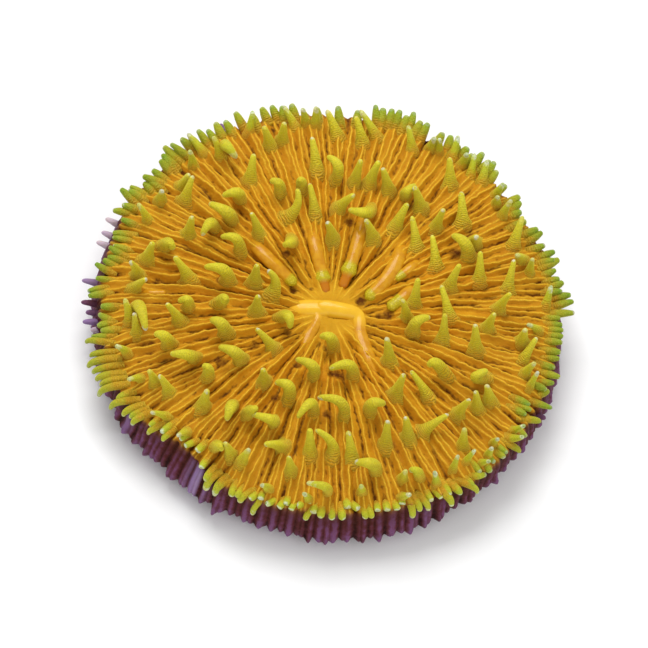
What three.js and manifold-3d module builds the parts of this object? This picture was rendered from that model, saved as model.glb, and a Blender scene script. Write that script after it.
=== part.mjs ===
// Mushroom coral: a round, free-living plate coral, about 110 mm across, as one solid.
// Millimetres, +Z up. The origin is the centre of the flat underside that the coral rests on.
// +X runs along the mouth slit, and -Y is the side that faces the viewer.
import * as THREE from 'three';
import { mergeVertices } from 'three/addons/utils/BufferGeometryUtils.js';
import Module from 'manifold-3d';

// Disc: outline of the lower side, from the flat base up to the rim
const BASE_RADIUS = 44;
const BASE_STEP = 8;
const SKIRT_RADIUS = 55;
const SKIRT_HEIGHT = 4.2;
const SKIRT_TOP_RADIUS = 54.4;
const SKIRT_TOP_HEIGHT = 9.4;
const RIM_RADIUS = 53.6;
const RIM_HEIGHT = 13;

// Disc: level of the septa's crests on the way in from the rim to the mouth. Inside the radius where a cycle
// of septa starts, a ring needs only every second or fourth column.
const CROWN = [
  { radius: 49.5, level: 14.6, step: 1 },
  { radius: 41.5, level: 15.8, step: 1 },
  { radius: 32.5, level: 16.5, step: 2 },
  { radius: 24, level: 16.5, step: 2 },
  { radius: 17, level: 15.8, step: 4 },
  { radius: 8, level: 14.3, step: 4 },
];
const MOUTH_LEVEL = 13.8;

// Septa: upright walls on the disc, which go on below the rim as the skirt's ribs
const SEPTA = 96;
const SEPTUM_HEIGHT = 2.4;
const SEPTUM_HEIGHT_SPREAD = 0.35;
const RIB_HEIGHT = 1.1;
const GROOVE_DEPTH_AT_RIM = 1.3;
const GROOVE_RAMP = 3.5;
// Each cycle of septa stands between the ones before it and starts further out
const CYCLES = [
  { every: 8, offset: 0, start: 8 },
  { every: 8, offset: 4, start: 11 },
  { every: 4, offset: 2, start: 20.5 },
  { every: 2, offset: 1, start: 36.5 },
];

// Fringe: a short tentacle at the outer end of each septum
const FRINGE_REACH = 2.6;
const FRINGE_RISE = 1.0;
const FRINGE_FAR_RISE = 2.2;
const FRINGE_SPREAD = 0.8;

// Mouth: two lips round a slit, and the thick smooth lobes that end the septa beside it
const LIP_LENGTH = 16;
const LIP_WIDTH = 6.4;
const LIP_HEIGHT = 1.5;
const SLIT_LENGTH = 12;
const SLIT_WIDTH = 0.9;
const SLIT_DEPTH = 2.2;
const LOBE_THICKNESS = 2.6;
const LOBE_HEIGHT = 2.2;
const LIP_FACETS = 8;
const SLIT_FACETS = 6;
const LOBE_FACETS = 6;
const LOBES = [
  // angle and radius of the inner end, then of the outer end, in degrees and millimetres
  [149, 10.5, 143, 25],
  [109, 8.3, 111, 19],
  [81, 11.6, 83, 21],
  [49, 10, 58, 24],
  [43, 18, 44, 26.5],
  [19, 14, 30, 18.5],
  [219, 5, 241, 12],
  [342, 9, 308, 23],
];

// Tentacles: blunt horns with a wide foot, upright or hooked over to one side
const TENTACLE_LENGTH = 8;
const TENTACLE_LENGTH_AT_RIM = 6;
const TENTACLE_FOOT_RADIUS = 2.1;
const TENTACLE_FOOT_RADIUS_AT_RIM = 1.4;
const TENTACLE_WAIST_RADIUS = 1.15;
const TENTACLE_WAIST = 0.55;
const TENTACLE_SIDES = 4;
const FOOT_SINK = 0.8;
const FOOT_PASSES = 4;
const ROOT_DEPTH = 3.6;
const HOOK_KNEE_HEIGHT = 5.6;
const HOOK_TIP_HEIGHT = 4.2;
const HOOK_WAISTS = [0.4, 0.75];
const LEAN_AT_ROOT = 0.25;
const STRETCH = 1.03;

// Tentacle places: foot x, foot y, tip x, tip y and, on a hooked one, knee x, knee y.
// They are seen from the viewer's side, 59.7 degrees above the level, and laid on the rim's plane,
// so a point that stands one millimetre above that plane is listed SIGHT_SHIFT further back.
const SIGHT_SHIFT = 0.583;
const FAR_TENTACLES = [
  [-26.7, 43.4, -26.8, 50], [-35.8, 35.5, -40.9, 40.5], [-32, 35.5, -34.8, 41],
  [-31, 38.2, -28.3, 36.4, -31.4, 40.4], [-37.9, 31.5, -39.6, 36], [-24.3, 30.6, -24.6, 38.4],
  [-38.5, 21.8, -37.6, 29.4], [-39.6, 25.5, -38.6, 29.5], [-16, 47.2, -20, 53],
  [-18.7, 43, -19, 48.4], [-21.2, 41, -23.6, 46.3], [-13.8, 48.7, -15.5, 53.2],
  [-11.7, 48.7, -12.4, 54.4], [-6, 47.2, -9.8, 54.1], [3.1, 49.1, -2.1, 55.8],
  [0, 46.8, -2.8, 53.9], [11.8, 47.4, 9.7, 54.2], [16, 48.7, 16.4, 52.2],
  [18.1, 48.2, 17.6, 52.2], [21.7, 47.7, 21.8, 54.1], [22.1, 40.1, 20.7, 47.7],
  [24.2, 46.5, 24.6, 49.6], [26.4, 43, 26.4, 50.1], [29.3, 42, 29.6, 49.1],
  [32.9, 39.1, 34.4, 43.5], [33.5, 37.2, 33.6, 39.6], [35.3, 34.2, 36.9, 39.5],
  [39.3, 26.8, 40.2, 35.8], [26.7, 30.3, 24.9, 39.1], [16.4, 32, 13.9, 38],
  [12.4, 35.3, 14, 38.4, 12.3, 37.5], [20.5, 27.7, 21.7, 33.5], [11.2, 25.5, 13.1, 33.2],
  [-9.3, 37, -12, 46], [-4.8, 35, -7.5, 41.5, -4.6, 40.6], [-0.2, 35.6, 0.4, 42.5],
  [3.3, 36, 4.6, 43], [8.1, 35.3, 5.7, 41.3], [-11.8, 31, -12.9, 33.2, -12.5, 34.9],
  [-16.7, 29.1, -19.4, 31.9, -17.6, 33], [-14.5, 22.4, -13.1, 31.3, -12.3, 26.8],
  [-7.7, 25.1, -10.4, 33.4], [-2.7, 27.8, 0.4, 32.7], [4.8, 29.3, -0.2, 28.4, 3.6, 29.6],
];
const LEFT_TENTACLES = [
  [-43.9, 20.8, -44.1, 23.7], [-27, 19.6, -32.6, 22.8, -28.2, 22.6],
  [-25.8, 25.4, -29.9, 25.5, -26.8, 28.3], [-36, 12.9, -35.9, 18.4],
  [-30.4, 16.6, -32.8, 13.8, -31.6, 18.7], [-45.8, 14.6, -49, 19.1], [-44.4, 4.2, -43.7, 9.5],
  [-41.3, 8.7, -38.9, 8.7, -39.9, 11.4], [-33.8, 1.4, -38.2, 6.8],
  [-24.7, 2.8, -30.8, 5.6, -26.3, 7], [-23.2, 11, -28.4, 14.4, -24.8, 15.9],
  [-19.7, 16.8, -22.5, 22.5], [-11.8, 17.2, -13.4, 15.6, -12.4, 17.6], [-18.7, 3.8, -18.8, 8.9],
  [-14.4, 1, -16.2, 8, -13.8, 5.3], [-2.5, 19.4, -4.6, 23.9], [-17, -3.8, -17.2, 0.7],
  [-26.2, -4, -25.1, -3, -24.7, -0.5], [-45.7, -0.1, -48, 3.2], [-46, -4, -43.5, -0.6],
  [-32.7, -6.3, -35.1, -4.9, -33.3, -2.8], [-34, -10.4, -37.8, -6.1], [-45.2, -13.2, -47.6, -6.9],
  [-44.5, -9.3, -41.3, -14.4, -43.6, -7.4], [-43.3, -16.2, -44.8, -10.2],
  [-35.2, -17, -39, -14.8, -36.8, -13.7], [-44.4, -21.5, -47.5, -19.9],
  [-28.9, -19.2, -34.6, -19.2, -30.8, -17.4], [-36.8, -28, -38.8, -24.7],
  [-33.1, -29.9, -36.2, -25.4], [-40.1, -27.4, -43.2, -28.2],
  [-22.7, -11.3, -26.9, -8.2, -24.4, -7.4], [-11.3, -12.8, -16.2, -8.1],
  [-18.2, -17.5, -23.8, -14.9, -20, -14.3], [-1, -18.2, -5.7, -14.2, -1.6, -13.9],
  [-12, -22.2, -12.7, -18.5], [-25.1, -24, -26.4, -21, -25.3, -19.8],
  [-5.6, -25.4, -9.3, -21.5, -6.2, -20.5], [-24.9, -31.8, -24.5, -26.9],
  [0.8, -28, -2.7, -29.7, -0.4, -23.9], [-18.2, -30.2, -18.8, -34, -18.4, -29],
  [-14.4, -31.3, -12.7, -29.4, -13.4, -28.6], [-8.2, -32, -13.3, -30.9, -8.6, -30.2],
  [-11.2, -4.2, -8.4, -6.3, -9.4, -2],
];
const RIGHT_TENTACLES = [
  [6.8, 21.5, 4.1, 26.6], [17.2, 21.5, 14.6, 30], [22.5, 17.4, 20.1, 26],
  [29.6, 21.4, 24.8, 26.8, 28, 26.6], [30, 25.6, 30.4, 27.7], [33, 16, 31.9, 24.1],
  [26.3, 12.4, 27.8, 19.6], [19, 6, 18.8, 13.7], [18, 2, 16.1, 7.2],
  [20.1, -1.3, 23.2, 3.8, 20.4, 3.2], [27.8, 4.5, 24.4, 13], [27.2, -1.8, 26.5, 5.6],
  [35.1, -2.6, 33.9, 4.4], [39.9, 14.9, 40.1, 23.7], [42, 23.6, 40.4, 24.9],
  [44.2, 20.4, 44.3, 24.9], [38.5, 9.2, 40.7, 14.4], [36.8, 3.4, 37.9, 8.2],
  [49.4, 12.2, 49.8, 18.7], [49, 5.6, 45.9, 7], [45.4, 1.7, 45.7, 5.6], [46.4, -3.4, 48.7, 4.1],
  [47.3, -6.8, 49.4, -2.8], [49, -10.4, 50.5, -4.9], [15.9, -10.3, 14.1, -3.7],
  [18.7, -18.8, 19.8, -12.5], [26.2, -17.4, 21.1, -11.3], [29.8, -11.2, 25.1, -9.2, 26.6, -6.8],
  [13.7, -24.3, 16.7, -21.5, 14, -20.6], [23.5, -29.6, 22, -23.7], [18.6, -32.5, 18, -25.6],
  [26.5, -27.2, 31.7, -20.9], [33.7, -20.9, 35.9, -15.9], [38, -18.2, 36.9, -13.4],
  [40.6, -15.5, 39.1, -11.3], [38.6, -9.2, 38.7, -7.3, 36.2, -8.3], [36.3, -29.1, 36, -23.7],
  [37.5, -33.6, 39.4, -28.8], [35.1, -36, 35.7, -31.2], [43.2, -26.6, 44.2, -24.9],
  [42.5, -30.4, 43.2, -27.5], [41.1, -32.6, 43.3, -31.2], [47.5, -23, 49.7, -19.9],
  [48, -25.4, 49.8, -23], [8.2, -16.1, 2.4, -15.1, 6.6, -11.8], [7.8, -27.3, 1, -23.2, 6.4, -22],
  [2.5, -9.4, -1, -7, 1.2, -5.5],
];
const NEAR_TENTACLES = [
  [1.7, -38.7, 0.6, -31.7], [6.9, -38, 2, -31.8, 6, -34.2], [11.6, -38, 9.4, -30.4],
  [-1.8, -44.3, -3, -40.3], [-4.6, -38.2, -9, -38.2], [-13.6, -44.6, -12.3, -40.3],
  [-16.2, -43.2, -18.2, -39.9], [-20.2, -41.4, -18.6, -41.8, -19.3, -39.8],
  [7.4, -47.8, 2.3, -46.3, 6.6, -45.1], [3.6, -50.9, 2, -49.2], [-6, -50.1, -8, -49.2],
  [17.4, -39.4, 12.4, -38.4, 16.2, -36.7], [24, -40.8, 24.4, -38],
  [27.9, -39.2, 25.4, -37.6, 26.9, -36.3], [32.1, -40.6, 31, -36.7], [15.3, -46.2, 14.8, -44.2],
  [24.8, -46.1, 26.5, -44], [-32.4, -36.2, -36.5, -35.7], [-27.4, -39.2, -29.3, -40.5],
];
const TENTACLES = [...FAR_TENTACLES, ...LEFT_TENTACLES, ...RIGHT_TENTACLES, ...NEAR_TENTACLES];

const ORANGE_TISSUE = new THREE.MeshStandardMaterial({ color: 0xc08a22, roughness: 0.55, metalness: 0 });
const UP = new THREE.Vector3(0, 0, 1);
const FULL_TURN = 2 * Math.PI;
const SCATTER = 4375.85;
const COLUMNS = 2 * SEPTA;

const wasm = await Module();
wasm.setup();

// A closed geometry as a solid: seams are merged, and triangles that a pole has collapsed are dropped
function toSolid(geometry) {
  const bare = geometry.clone();
  bare.deleteAttribute('normal');
  bare.deleteAttribute('uv');
  const merged = mergeVertices(bare);
  const corners = merged.index.array;
  const kept = [];
  for (let i = 0; i < corners.length; i += 3) {
    const [a, b, c] = corners.slice(i, i + 3);
    if (a !== b && b !== c && c !== a) kept.push(a, b, c);
  }
  const vertProperties = new Float32Array(merged.getAttribute('position').array);
  return new wasm.Manifold(new wasm.Mesh({ numProp: 3, vertProperties, triVerts: new Uint32Array(kept) }));
}

function toGeometry(solid) {
  const mesh = solid.getMesh();
  const geometry = new THREE.BufferGeometry();
  geometry.setAttribute('position', new THREE.BufferAttribute(mesh.vertProperties, 3));
  geometry.setIndex(new THREE.BufferAttribute(mesh.triVerts, 1));
  geometry.computeVertexNormals();
  return geometry;
}

// A repeatable, scattered number from 0 to 1 for each septum
function chance(septum) {
  const scattered = SCATTER * Math.sin(septum + 1);
  return scattered - Math.floor(scattered);
}

// Level of the septa's crests at a radius
function crestLevel(radius) {
  const stations = [{ radius: RIM_RADIUS, level: RIM_HEIGHT }, ...CROWN, { radius: 0, level: MOUTH_LEVEL }];
  const inner = stations.findIndex((station) => station.radius <= Math.min(radius, RIM_RADIUS));
  if (inner <= 0) return RIM_HEIGHT;
  const [from, to] = [stations[inner - 1], stations[inner]];
  const share = (from.radius - radius) / (from.radius - to.radius);
  return THREE.MathUtils.lerp(from.level, to.level, share);
}

// How far a septum has risen from the groove floor at a radius, from 0 to 1
function septumRise(septum, radius) {
  const cycle = CYCLES.find(({ every, offset }) => septum % every === offset);
  return THREE.MathUtils.smoothstep(radius, cycle.start - GROOVE_RAMP, cycle.start + GROOVE_RAMP);
}

// The disc: a turned outline whose columns alternate between a septum's crest and a groove
function makeDisc() {
  const lower = [
    new THREE.Vector2(0, 0),
    new THREE.Vector2(BASE_RADIUS, 0),
    new THREE.Vector2(SKIRT_RADIUS, SKIRT_HEIGHT),
    new THREE.Vector2(SKIRT_TOP_RADIUS, SKIRT_TOP_HEIGHT),
  ];
  const upper = [
    ...CROWN.map(({ radius, level }) => new THREE.Vector2(radius, level)),
    new THREE.Vector2(0, MOUTH_LEVEL),
  ];
  const outline = [...lower, new THREE.Vector2(RIM_RADIUS, RIM_HEIGHT), ...upper];
  const rimRing = lower.length;
  const steps = outline.map((corner, ring) => CROWN[ring - rimRing - 1]?.step ?? 1);
  steps[1] = BASE_STEP;
  const turned = new THREE.LatheGeometry(outline, COLUMNS).rotateX(Math.PI / 2);
  const positions = turned.getAttribute('position');
  for (let lathed = 0; lathed <= COLUMNS; lathed += 1) {
    for (let ring = 0; ring < outline.length; ring += 1) {
      // A ring with fewer columns gathers its spare vertices onto the ones it keeps
      const column = (lathed - (lathed % steps[ring])) % COLUMNS;
      const crest = column % 2 === 0;
      const septum = column / 2;
      const angle = (FULL_TURN * column) / COLUMNS - Math.PI / 2;
      let { x: radius, y: height } = outline[ring];
      if (ring > 1 && ring < rimRing) {
        radius += crest ? RIB_HEIGHT / 2 : -RIB_HEIGHT / 2;
      } else if (ring === rimRing && crest) {
        const farness = (1 + Math.sin(angle)) / 2;
        radius += FRINGE_REACH + FRINGE_SPREAD * (chance(septum) - 0.5);
        height += THREE.MathUtils.lerp(FRINGE_RISE, FRINGE_FAR_RISE, farness);
      } else if (ring === rimRing) {
        height -= GROOVE_DEPTH_AT_RIM;
      } else if (ring > rimRing && radius > 0) {
        const rise = crest ? septumRise(septum, radius) : 0;
        const deepened = THREE.MathUtils.smoothstep(radius, CYCLES[0].start, CYCLES[1].start + GROOVE_RAMP);
        height -= SEPTUM_HEIGHT * deepened * (1 - rise);
        height += rise * SEPTUM_HEIGHT_SPREAD * (chance(septum) - 0.5);
      }
      const vertex = lathed * outline.length + ring;
      positions.setXYZ(vertex, radius * Math.cos(angle), radius * Math.sin(angle), height);
    }
  }
  return toSolid(turned);
}

// A squashed ball of the given full sizes, turned about the vertical
function makeLump(length, width, height, centre, turn, facets) {
  const ball = new THREE.SphereGeometry(0.5, facets, facets / 2);
  ball.rotateX(Math.PI / 2).scale(length, width, height).rotateZ(turn);
  return toSolid(ball.translate(centre.x, centre.y, centre.z));
}

function makeLips() {
  const centre = new THREE.Vector3(0, 0, MOUTH_LEVEL);
  return makeLump(LIP_LENGTH, LIP_WIDTH, 2 * LIP_HEIGHT, centre, 0, LIP_FACETS);
}

function makeSlit() {
  const centre = new THREE.Vector3(0, 0, MOUTH_LEVEL + LIP_HEIGHT);
  return makeLump(SLIT_LENGTH, SLIT_WIDTH, 2 * SLIT_DEPTH, centre, 0, SLIT_FACETS);
}

function polarPoint(degrees, radius) {
  const angle = THREE.MathUtils.degToRad(degrees);
  return new THREE.Vector3(radius * Math.cos(angle), radius * Math.sin(angle), crestLevel(radius));
}

function makeLobe([innerDegrees, innerRadius, outerDegrees, outerRadius]) {
  const inner = polarPoint(innerDegrees, innerRadius);
  const outer = polarPoint(outerDegrees, outerRadius);
  const centre = inner.clone().add(outer).multiplyScalar(0.5);
  const run = outer.sub(inner);
  const length = Math.hypot(run.x, run.y) + LOBE_THICKNESS;
  centre.z -= LOBE_HEIGHT / 4;
  return makeLump(length, LOBE_THICKNESS, LOBE_HEIGHT, centre, Math.atan2(run.y, run.x), LOBE_FACETS);
}

// Where a foot that is listed as seen really stands on the disc
function footPoint(x, seenY) {
  const point = new THREE.Vector3(x, seenY, crestLevel(Math.hypot(x, seenY)));
  for (let pass = 0; pass < FOOT_PASSES; pass += 1) {
    point.y = seenY - SIGHT_SHIFT * (point.z - RIM_HEIGHT);
    point.z = crestLevel(Math.hypot(point.x, point.y)) - FOOT_SINK;
  }
  return point;
}

// The rise of an upright tentacle whose tip is seen this far from its foot
function uprightRise(seenX, seenY, length) {
  const reach = Math.hypot(seenX, seenY);
  const shortest = STRETCH * Math.hypot(seenX, seenY / Math.hypot(1, SIGHT_SHIFT));
  const real = Math.max(length, shortest);
  const slant = 1 + SIGHT_SHIFT ** 2;
  const lean = SIGHT_SHIFT * seenY;
  return (lean + Math.sqrt(lean ** 2 - slant * (reach ** 2 - real ** 2))) / slant;
}

// How near the rim a place on the disc is, from 0 to 1
function nearRim(x, y) {
  return THREE.MathUtils.smoothstep(Math.hypot(x, y), CROWN[1].radius, RIM_RADIUS);
}

// The centre line of a tentacle, from its root inside the disc to its tip
function tentaclePath([footX, footY, tipX, tipY, kneeX, kneeY]) {
  const foot = footPoint(footX, footY);
  const seen = (x, y, height) => new THREE.Vector3(
    foot.x + x - footX,
    foot.y + y - footY - SIGHT_SHIFT * height,
    foot.z + height,
  );
  const root = foot.clone().addScaledVector(UP, -ROOT_DEPTH);
  if (kneeX !== undefined) {
    const knee = seen(kneeX, kneeY, HOOK_KNEE_HEIGHT);
    const tip = seen(tipX, tipY, HOOK_TIP_HEIGHT);
    const bend = root.clone().add(tip).multiplyScalar(-0.5).addScaledVector(knee, 2);
    return new THREE.QuadraticBezierCurve3(root, bend, tip);
  }
  const length = THREE.MathUtils.lerp(TENTACLE_LENGTH, TENTACLE_LENGTH_AT_RIM, nearRim(footX, footY));
  const tip = seen(tipX, tipY, uprightRise(tipX - footX, tipY - footY, length));
  const bend = root.clone().lerp(tip, 0.5);
  bend.x = THREE.MathUtils.lerp(root.x, tip.x, LEAN_AT_ROOT);
  bend.y = THREE.MathUtils.lerp(root.y, tip.y, LEAN_AT_ROOT);
  return new THREE.QuadraticBezierCurve3(root, bend, tip);
}

// A tentacle: a turned horn whose rings are laid along its centre line
function makeTentacle(place) {
  const path = tentaclePath(place);
  const hooked = place.length > 4;
  const waists = hooked ? HOOK_WAISTS : [TENTACLE_WAIST];
  const rimShare = nearRim(place[0], place[1]);
  const footRadius = THREE.MathUtils.lerp(TENTACLE_FOOT_RADIUS, TENTACLE_FOOT_RADIUS_AT_RIM, rimShare);
  const taper = (station) => footRadius + (TENTACLE_WAIST_RADIUS - footRadius) * (station / TENTACLE_WAIST);
  const outline = [
    new THREE.Vector2(0, 0),
    new THREE.Vector2(footRadius, 0),
    ...waists.map((station) => new THREE.Vector2(taper(station), station)),
    new THREE.Vector2(0, 1),
  ];
  const horn = new THREE.LatheGeometry(outline, TENTACLE_SIDES).rotateX(Math.PI / 2);
  const positions = horn.getAttribute('position');
  const point = new THREE.Vector3();
  const turn = new THREE.Quaternion();
  for (let vertex = 0; vertex < positions.count; vertex += 1) {
    const station = positions.getZ(vertex);
    turn.setFromUnitVectors(UP, path.getTangent(station));
    point.set(positions.getX(vertex), positions.getY(vertex), 0).applyQuaternion(turn);
    point.add(path.getPoint(station));
    positions.setXYZ(vertex, point.x, point.y, point.z);
  }
  return toSolid(horn);
}

function makeCoral() {
  let coral = makeDisc().add(makeLips()).subtract(makeSlit());
  for (const lobe of LOBES) coral = coral.add(makeLobe(lobe));
  for (const place of TENTACLES) coral = coral.add(makeTentacle(place));
  const mesh = new THREE.Mesh(toGeometry(coral), ORANGE_TISSUE);
  mesh.name = 'coral';
  return mesh;
}

const mushroomCoral = new THREE.Group();
mushroomCoral.add(makeCoral());

export default mushroomCoral;
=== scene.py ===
"""Mushroom coral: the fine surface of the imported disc, its tentacles, and a plain studio round it."""

import math

import bpy
import numpy as np
from mathutils import Matrix, Vector
from numpy.linalg import norm


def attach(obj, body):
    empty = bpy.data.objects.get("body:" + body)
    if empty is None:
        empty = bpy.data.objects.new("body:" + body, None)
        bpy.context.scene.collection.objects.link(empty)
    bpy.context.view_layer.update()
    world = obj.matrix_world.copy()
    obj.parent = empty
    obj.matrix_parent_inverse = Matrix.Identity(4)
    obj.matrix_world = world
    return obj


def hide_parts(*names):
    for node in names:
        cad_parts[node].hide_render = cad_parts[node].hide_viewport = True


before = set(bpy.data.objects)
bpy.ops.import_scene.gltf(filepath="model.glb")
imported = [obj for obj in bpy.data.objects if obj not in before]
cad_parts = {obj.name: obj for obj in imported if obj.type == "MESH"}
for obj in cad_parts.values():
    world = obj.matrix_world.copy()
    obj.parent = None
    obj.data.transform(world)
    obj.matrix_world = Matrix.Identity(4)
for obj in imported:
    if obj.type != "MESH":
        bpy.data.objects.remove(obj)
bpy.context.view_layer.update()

MM = 0.001
FULL_TURN = 2 * math.pi
UP = np.array([0.0, 0, 1])
RANDOM_SEED = 11
rng = np.random.default_rng(RANDOM_SEED)

# Disc outline, in millimetres, as in the part's source
RIM_RADIUS = 53.6
RIM_HEIGHT = 13.0
CROWN_RADII = np.array([0, 8, 17, 24, 32.5, 41.5, 49.5, RIM_RADIUS])
CROWN_LEVELS = np.array([13.8, 14.3, 15.8, 16.5, 16.5, 15.8, 14.6, RIM_HEIGHT])
CROWN_SMOOTHING = np.linspace(-2.4, 2.4, 7)
SKIRT_RADII = np.array([54.0, 54.3, 54.5, 54.7, 54.9, 55.0, 55.0, 54.9, 54.5, 53.6, 51.8, 48.6, 44.0])
SKIRT_LEVELS = np.array([12.3, 11.4, 10.4, 9.3, 8.1, 6.9, 5.7, 4.5, 3.4, 2.3, 1.2, 0.4, 0.0])

# Where the rim leaves its circle: angle, reach to each side of it in degrees, and how far out
RIM_WAVES = [[238, 9, -2.8], [319, 14, 1.1], [40, 12, -0.5], [215, 8, 0.8]]
RIM_WAVE_START = 43.0
SKIRT_WAVES = [[286, 17, 1.1], [231, 8, -0.6], [330, 10, -0.5]]

# Mouth: one fold that lies across the far side of the slit and comes forward at both ends.
# Each row holds x, y as seen on the rim's plane, the level of the fold's middle, and its half width.
MOUTH_FOLD = np.array([
    [-4.8, -14.0, 13.2, 0.8], [-3.9, -7.8, 13.8, 1.35], [-2.9, -4.6, 13.6, 1.3], [-2.4, -2.4, 13.45, 1.25],
    [-2.8, -0.3, 13.6, 1.4], [-1.6, 0.8, 13.85, 2.0], [1.2, 1.0, 13.95, 2.05], [4.6, 1.1, 13.85, 1.9],
    [6.5, 0.6, 13.65, 1.7], [7.3, -1.1, 13.55, 1.6], [7.7, -3.6, 13.75, 1.7], [9.0, -6.6, 14.1, 1.85],
    [11.2, -10.5, 14.3, 1.7], [13.4, -14.5, 13.8, 1.1],
])
# A low smooth fold that leads into it from the left
SIDE_FOLD = np.array([
    [-9.6, -1.0, 12.7, 0.9], [-7.6, -0.5, 13.0, 1.9], [-5.2, -0.1, 13.1, 2.4], [-2.8, 0.4, 13.35, 2.3],
    [-0.8, 0.8, 13.6, 2.2], [1.5, 1.0, 13.7, 1.8],
])
FOLD_FLATNESS = 0.56
FOLD_RINGS = 60
SLIT_CENTRE = (2.2, -1.5)
SLIT_TILT = 0.1
SLIT_HALF_LENGTH = 2.8
SLIT_HALF_WIDTH = 0.22
SLIT_DEPTH = 0.7
SLIT_FADE = 0.8
SLIT_SHADE = 0.8
# Hollows round the mouth and under the hooked tentacles, pressed in and painted with shade: x, y, radius
# and how deep and dark
HOLLOWS = [
    [6.7, 4.4, 1.8, 1.05], [13.6, 1.6, 1.9, 1.0], [11.4, 1.2, 1.4, 0.95], [-9.4, 3.6, 1.5, 1.0],
    [-8.8, -7.9, 1.5, 0.95], [10.2, -4.6, 1.0, 0.85], [0.6, -10.2, 1.4, 0.95], [4.8, -17.2, 1.8, 1.05],
    [3.0, -17.4, 1.4, 1.0], [-5.0, -16.7, 1.6, 1.0], [-15.6, -13.5, 1.7, 0.95], [2.9, 8.4, 0.9, 0.9],
    [-5.2, 5.2, 0.9, 0.9], [26.5, 20.9, 2.1, 1.0], [-26.3, 1.4, 1.8, 1.0], [-22.8, -20.2, 1.8, 1.0],
    [-8.6, -26.9, 1.6, 1.0], [4.0, -28.5, 1.6, 1.0], [0.6, 23.7, 1.6, 1.0], [-12.6, 12.3, 1.4, 1.0],
]
HOLLOW_DEPTH = 1.5
HOLLOW_SMOOTHNESS = 0.75
# Shares of a hollow's radius between which it fades out
HOLLOW_FADE = (0.3, 1.7)

# Septa
SEPTA = 192
SEPTUM_HEIGHT = 2.4
CYCLE_STARTS = np.array([5.0, 6.5, 11.0, 20.5, 37.0])
CYCLE_START_JITTER = np.array([0.8, 1.5, 2.5, 5.0, 6.0])
CYCLE_STRENGTHS = np.array([1.06, 1.02, 0.98, 0.92, 0.82])
CYCLE_RAMPS = np.array([2.6, 2.6, 3.5, 5.0, 6.0])
FLANK_SLOPE = 1.3
FLANK_SLOPE_AT_RIM = 1.6
FLANK_SKEW = 0.55
CREST_ROUNDING = 0.06
# Width, in millimetres, of the highlight painted along each crest
CREST_HIGHLIGHT_WIDTH = 0.17
STRENGTH_SPREAD = 0.06
SPACING_JITTER = 0.3
SWAY = 0.2
SWAY_RADII = (9, 24)
SLOW_SWAY_LENGTH = 2.8
QUICK_SWAY = 0.4
FINE_SWAY = 0.25
# How fast the quick and the fine sway may turn, per millimetre
SWAY_RATES = [(0.8, 1.8), (1.9, 2.8)]
SWELL = 0.11
SWELL_LENGTH = 3.1
TOOTH_HEIGHT = 0.05
TOOTH_LENGTHS = (0.33, 0.52)
STREAK_RADIUS = 40.0
STREAK_STRETCH = 7.0
COLUMN_OFFSETS = np.array([-0.4, -0.15, 0.0, 0.15, 0.4])
COLUMNS = SEPTA * len(COLUMN_OFFSETS)
# Radii of the rings of the top: start, end and step of each run, then those close to the rim
RING_RUNS = [(0.4, 8.0, 0.4), (8.3, 26.0, 0.66), (26.2, 51.2, 0.76)]
RIM_RINGS = [51.7, 52.4, 52.9, 53.3, RIM_RADIUS]
# Grooves, painted with shade: columns looked at to each side, least and full depth, and the shade of a
# shallow one
GROOVE_REACH = 10
LEAST_GROOVE = 0.2
DEEP_GROOVE = 0.45
SHALLOW_SHADE = 0.4
OPEN_RADII = (3.5, 10)
STEEPER_FROM = 44.0
GROOVE_LOSS_AT_RIM = 0.35
RIM_SCALLOP = 0.9
SCALLOP_FROM = 50.0
SCALLOP_MIDDLE = 0.6
RIM_SHADE = 0.6
RIM_SHADE_RADII = (52.6, 54.2)

# Ribs of the skirt
RIB_HEIGHT = 1.3
RIB_SLOPE = 1.6
RIB_ROUNDING = 0.45
MINOR_RIB = 0.85
RIB_SPREAD = (0.6, 1.25)
RIB_REACH = 0.7
RIB_REACH_AT_SPINES = 0.4
RIB_MIDDLE = 0.5
STANDING_LEVELS = (0, 1.5)
UPPER_LEVELS = (5, 12.5)
SKIRT_SHADE = 0.8
SKIRT_SHADE_LEVELS = (12.5, 11)
# Patches of pale lilac on the rib tops, partly their own colour and partly painted highlight: angle,
# reach, amount
LILAC_RIBS = [[245, 3.5, 1.0], [221, 3, 0.5], [303, 3, 0.3]]
SPINE_LEVEL = 3.6
SPINE_SPREAD = 1.9
SPINE_HALF_WIDTH = 1.05

# Tentacles
TENTACLE_LENGTH = 8.0
TENTACLE_LENGTH_AT_RIM = 6.0
FOOT_SINK = 0.8
ROOT_DEPTH = 2.2
# How far the knee lies below where it is seen, the height of the knee and that of the tip
HOOK_FORM = (1.2, 5.6, 4.2)
CURVE_FORM = (0.0, 4.0, 7.0)
CURVE_RISE = 1.5
HOOK_ARC = 0.55
LEAN_AT_ROOT = 0.25
ROOT_LEAN = 0.3
STRETCH = 1.03
FOOT_PASSES = 4
TENTACLE_SIDES = 18
TENTACLE_RINGS = 22
RIM_TENTACLE_RADII = (44, 52)
RIM_THINNING = 0.2
SIZE_SPREAD = (0.9, 1.08)
LEAST_SIZE = 0.62
SIZE_PER_MM = 0.05
LARGEST_SIZE = 1.05
FOOT_STRETCH = 0.5
FOOT_FADE = 0.12
FOOT_INSET = 2.2
MOUND_FILL = 0.5
MOUND_HEIGHT = 1.0
MOUND_LENGTH = 2.7
MOUND_WIDTH = 1.15
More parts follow.
